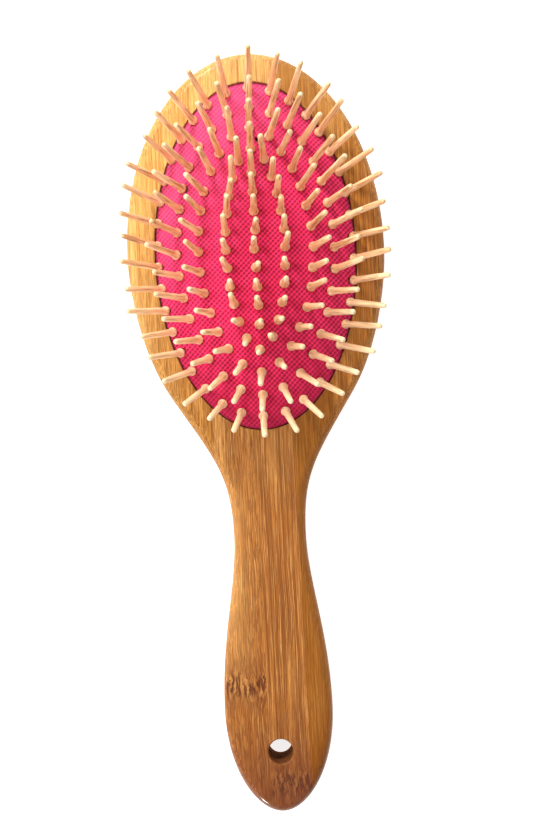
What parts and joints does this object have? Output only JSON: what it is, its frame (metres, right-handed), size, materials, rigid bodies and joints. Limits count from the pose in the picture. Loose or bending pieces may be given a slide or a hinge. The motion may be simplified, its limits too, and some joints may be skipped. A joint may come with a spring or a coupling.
{
  "type": "paddle brush",
  "caption": "Oval bamboo hair brush with a cloth-faced air cushion that sinks under load, wooden pins standing square to its dome, and a hanging hole in the waisted handle.",
  "frame": {"origin": "centre of the box's bottom, on the flat back, midway along the brush", "axes": "+Y from the handle to the head, +Z out of the face that holds the pins, X across; X = 0 is the plane of symmetry"},
  "size_m": [0.0774, 0.227, 0.0365],
  "materials": {
    "bamboo": "sanded and lightly oiled bamboo, satin",
    "rubber": "matte moulded rubber",
    "cloth": "tightly woven hot pink cloth, matte",
    "pin_wood": "smooth sanded pale bamboo, satin"
  },
  "bodies": {
    "handle": {"bamboo_body": "bamboo", "rubber_cushion": "rubber", "fabric_cover": "cloth"},
    "middle_row": {"middle_row_pins_01": "pin_wood", "middle_row_pins_02": "pin_wood", "middle_row_pins_03": "pin_wood"},
    "inner_ring": {"inner_ring_pins_01": "pin_wood", "inner_ring_pins_02": "pin_wood", "inner_ring_pins_03": "pin_wood", "inner_ring_pins_04": "pin_wood", "inner_ring_pins_05": "pin_wood", "inner_ring_pins_06": "pin_wood", "inner_ring_pins_07": "pin_wood", "inner_ring_pins_08": "pin_wood"},
    "third_ring": {"third_ring_pins_01": "pin_wood", "third_ring_pins_02": "pin_wood", "third_ring_pins_03": "pin_wood", "third_ring_pins_04": "pin_wood", "third_ring_pins_05": "pin_wood", "third_ring_pins_06": "pin_wood", "third_ring_pins_07": "pin_wood", "third_ring_pins_08": "pin_wood"},
    "second_ring_arc_01": {"second_ring_pins_01": "pin_wood"},
    "second_ring_arc_02": {"second_ring_pins_02": "pin_wood"},
    "second_ring_arc_03": {"second_ring_pins_03": "pin_wood"},
    "second_ring_arc_04": {"second_ring_pins_04": "pin_wood"},
    "second_ring_arc_05": {"second_ring_pins_05": "pin_wood"},
    "second_ring_arc_06": {"second_ring_pins_06": "pin_wood"},
    "second_ring_arc_07": {"second_ring_pins_07": "pin_wood"},
    "second_ring_arc_08": {"second_ring_pins_08": "pin_wood"},
    "outer_ring_arc_01": {"outer_ring_pins_01": "pin_wood"},
    "outer_ring_arc_02": {"outer_ring_pins_02": "pin_wood"},
    "outer_ring_arc_03": {"outer_ring_pins_03": "pin_wood"},
    "outer_ring_arc_04": {"outer_ring_pins_04": "pin_wood"},
    "outer_ring_arc_05": {"outer_ring_pins_05": "pin_wood"},
    "outer_ring_arc_06": {"outer_ring_pins_06": "pin_wood"},
    "outer_ring_arc_07": {"outer_ring_pins_07": "pin_wood"},
    "outer_ring_arc_08": {"outer_ring_pins_08": "pin_wood"},
    "outer_ring_arc_09": {"outer_ring_pins_09": "pin_wood"},
    "outer_ring_arc_10": {"outer_ring_pins_10": "pin_wood"}
  },
  "joints": [
    {"name": "cushion_press", "type": "slide", "parent": "handle", "child": "middle_row", "axis": [0, 0, -1], "range_m": [0, 0.003], "stiffness_N_per_m": 1500, "springref_m": -0.0003, "deforming": ["fabric_cover", "rubber_cushion"]},
    {"name": "inner_ring_press", "type": "slide", "parent": "handle", "child": "inner_ring", "axis": [0, 0, -1], "range_m": [0, 0.0029]},
    {"name": "third_ring_press", "type": "slide", "parent": "handle", "child": "third_ring", "axis": [0, 0, -1], "range_m": [0, 0.0025]},
    {"name": "second_ring_tilt_01", "type": "hinge", "parent": "handle", "child": "second_ring_arc_01", "pos_m": [0, 0.10411, 0.0115], "axis": [1, 0, 0], "range_deg": [0, 8]},
    {"name": "second_ring_tilt_02", "type": "hinge", "parent": "handle", "child": "second_ring_arc_02", "pos_m": [0.02291, 0.08537, 0.0115], "axis": [0.512, -0.859, 0], "range_deg": [0, 11.2]},
    {"name": "second_ring_tilt_03", "type": "hinge", "parent": "handle", "child": "second_ring_arc_03", "pos_m": [0.0297, 0.05349, 0.0115], "axis": [0.012, -0.9999, 0], "range_deg": [0, 13]},
    {"name": "second_ring_tilt_04", "type": "hinge", "parent": "handle", "child": "second_ring_arc_04", "pos_m": [0.02358, 0.02128, 0.0115], "axis": [-0.4905, -0.8715, 0], "range_deg": [0, 11.1]},
    {"name": "second_ring_tilt_05", "type": "hinge", "parent": "handle", "child": "second_ring_arc_05", "pos_m": [0, 0.0011, 0.0115], "axis": [-1, 0, 0], "range_deg": [0, 7.8]},
    {"name": "second_ring_tilt_06", "type": "hinge", "parent": "handle", "child": "second_ring_arc_06", "pos_m": [-0.02358, 0.02128, 0.0115], "axis": [-0.4905, 0.8715, 0], "range_deg": [0, 11.1]},
    {"name": "second_ring_tilt_07", "type": "hinge", "parent": "handle", "child": "second_ring_arc_07", "pos_m": [-0.0297, 0.05349, 0.0115], "axis": [0.012, 0.9999, 0], "range_deg": [0, 13]},
    {"name": "second_ring_tilt_08", "type": "hinge", "parent": "handle", "child": "second_ring_arc_08", "pos_m": [-0.02291, 0.08537, 0.0115], "axis": [0.512, 0.859, 0], "range_deg": [0, 11.2]},
    {"name": "outer_ring_lean_01", "type": "hinge", "parent": "handle", "child": "outer_ring_arc_01", "pos_m": [0, 0.1009, 0.01242], "axis": [-1, 0, 0], "range_deg": [-10, 8], "stiffness_Nm_per_rad": 0.1},
    {"name": "outer_ring_lean_02", "type": "hinge", "parent": "handle", "child": "outer_ring_arc_02", "pos_m": [0.01795, 0.08986, 0.01231], "axis": [-0.568, 0.823, 0], "range_deg": [-10, 8], "stiffness_Nm_per_rad": 0.1},
    {"name": "outer_ring_lean_03", "type": "hinge", "parent": "handle", "child": "outer_ring_arc_03", "pos_m": [0.02722, 0.06621, 0.01221], "axis": [-0.164, 0.9865, 0], "range_deg": [-10, 8], "stiffness_Nm_per_rad": 0.1},
    {"name": "outer_ring_lean_04", "type": "hinge", "parent": "handle", "child": "outer_ring_arc_04", "pos_m": [0.02722, 0.04059, 0.01237], "axis": [0.1452, 0.9894, 0], "range_deg": [-10, 8], "stiffness_Nm_per_rad": 0.1},
    {"name": "outer_ring_lean_05", "type": "hinge", "parent": "handle", "child": "outer_ring_arc_05", "pos_m": [0.01795, 0.01694, 0.01274], "axis": [0.5511, 0.8344, 0], "range_deg": [-10, 8], "stiffness_Nm_per_rad": 0.1},
    {"name": "outer_ring_lean_06", "type": "hinge", "parent": "handle", "child": "outer_ring_arc_06", "pos_m": [0, 0.0059, 0.01299], "axis": [1, 0, 0], "range_deg": [-10, 8], "stiffness_Nm_per_rad": 0.1},
    {"name": "outer_ring_lean_07", "type": "hinge", "parent": "handle", "child": "outer_ring_arc_07", "pos_m": [-0.01795, 0.01694, 0.01274], "axis": [0.5511, -0.8344, 0], "range_deg": [-10, 8], "stiffness_Nm_per_rad": 0.1},
    {"name": "outer_ring_lean_08", "type": "hinge", "parent": "handle", "child": "outer_ring_arc_08", "pos_m": [-0.02722, 0.04059, 0.01237], "axis": [0.1452, -0.9894, 0], "range_deg": [-10, 8], "stiffness_Nm_per_rad": 0.1},
    {"name": "outer_ring_lean_09", "type": "hinge", "parent": "handle", "child": "outer_ring_arc_09", "pos_m": [-0.02722, 0.06621, 0.01221], "axis": [-0.164, -0.9865, 0], "range_deg": [-10, 8], "stiffness_Nm_per_rad": 0.1},
    {"name": "outer_ring_lean_10", "type": "hinge", "parent": "handle", "child": "outer_ring_arc_10", "pos_m": [-0.01795, 0.08986, 0.01231], "axis": [-0.568, -0.823, 0], "range_deg": [-10, 8], "stiffness_Nm_per_rad": 0.1}
  ],
  "couplings": [
    {"joint": "inner_ring_press", "follows": "cushion_press", "ratio": 0.95},
    {"joint": "third_ring_press", "follows": "cushion_press", "ratio": 0.798},
    {"joint": "second_ring_tilt_01", "follows": "cushion_press", "rad_per_m": 45.4},
    {"joint": "second_ring_tilt_02", "follows": "cushion_press", "rad_per_m": 64.12},
    {"joint": "second_ring_tilt_03", "follows": "cushion_press", "rad_per_m": 74.78},
    {"joint": "second_ring_tilt_04", "follows": "cushion_press", "rad_per_m": 63.99},
    {"joint": "second_ring_tilt_05", "follows": "cushion_press", "rad_per_m": 44.43},
    {"joint": "second_ring_tilt_06", "follows": "cushion_press", "rad_per_m": 63.99},
    {"joint": "second_ring_tilt_07", "follows": "cushion_press", "rad_per_m": 74.78},
    {"joint": "second_ring_tilt_08", "follows": "cushion_press", "rad_per_m": 64.12}
  ]
}
